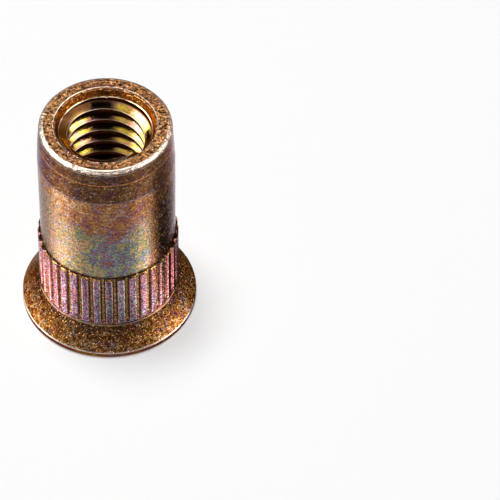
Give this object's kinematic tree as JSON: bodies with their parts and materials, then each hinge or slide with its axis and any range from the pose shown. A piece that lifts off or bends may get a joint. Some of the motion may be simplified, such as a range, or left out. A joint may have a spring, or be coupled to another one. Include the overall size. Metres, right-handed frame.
{
  "type": "rivet nut",
  "caption": "Countersunk rivet nut: a tubular threaded insert with a ribbed band under a conical head, set in sheet metal from one side.",
  "frame": {"origin": "centre of the head's flat face, on which the nut stands", "axes": "+Z along the nut's axis, from the head's face to the threaded end; one furrow between two ribs is centred on +X"},
  "size_m": [0.0118, 0.0118, 0.0165],
  "materials": {
    "yellow_zinc_steel": "steel, zinc plated and yellow passivated, satin with rainbow tints"
  },
  "bodies": {
    "root": {"rivet_nut": "yellow_zinc_steel"}
  },
  "joints": []
}
